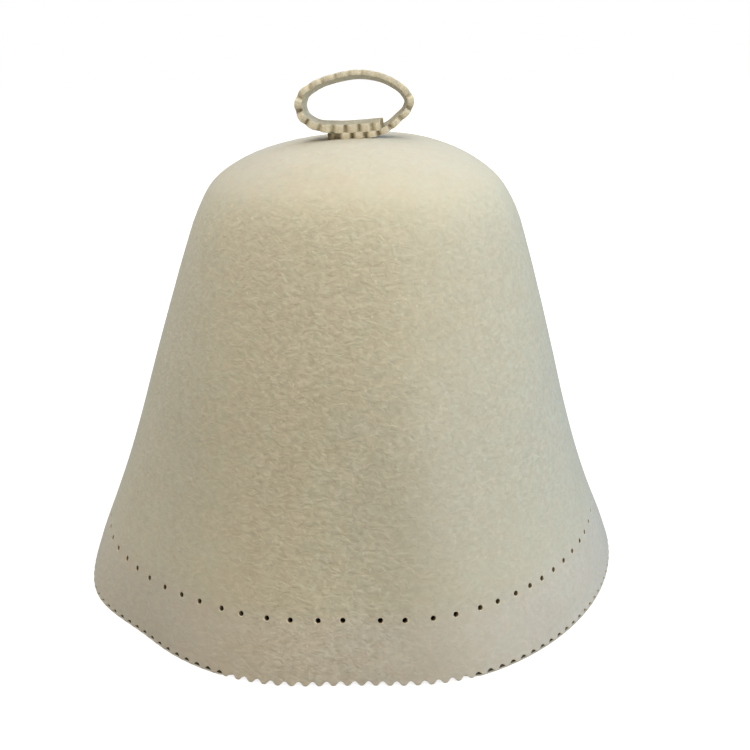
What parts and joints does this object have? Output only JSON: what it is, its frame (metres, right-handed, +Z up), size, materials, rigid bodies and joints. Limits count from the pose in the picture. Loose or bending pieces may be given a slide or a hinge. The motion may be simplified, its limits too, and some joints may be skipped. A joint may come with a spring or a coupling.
{
  "type": "sauna hat",
  "caption": "Bell-shaped sauna hat of pressed felt with a pinked, flared hem, a row of punched holes above it and a pinked felt hanging loop on its crown.",
  "frame": {"origin": "on the floor, under the middle of the box that bounds the hem", "axes": "+Z up from the hem to the crown, -Y towards the front, +X to the right as the picture shows it"},
  "size_m": [0.3038, 0.297, 0.263],
  "materials": {
    "bell_felt": "matte undyed wool felt",
    "loop_felt": "matte undyed wool felt"
  },
  "bodies": {
    "root": {"felt_bell": "bell_felt", "hanging_loop": "loop_felt"}
  },
  "joints": []
}
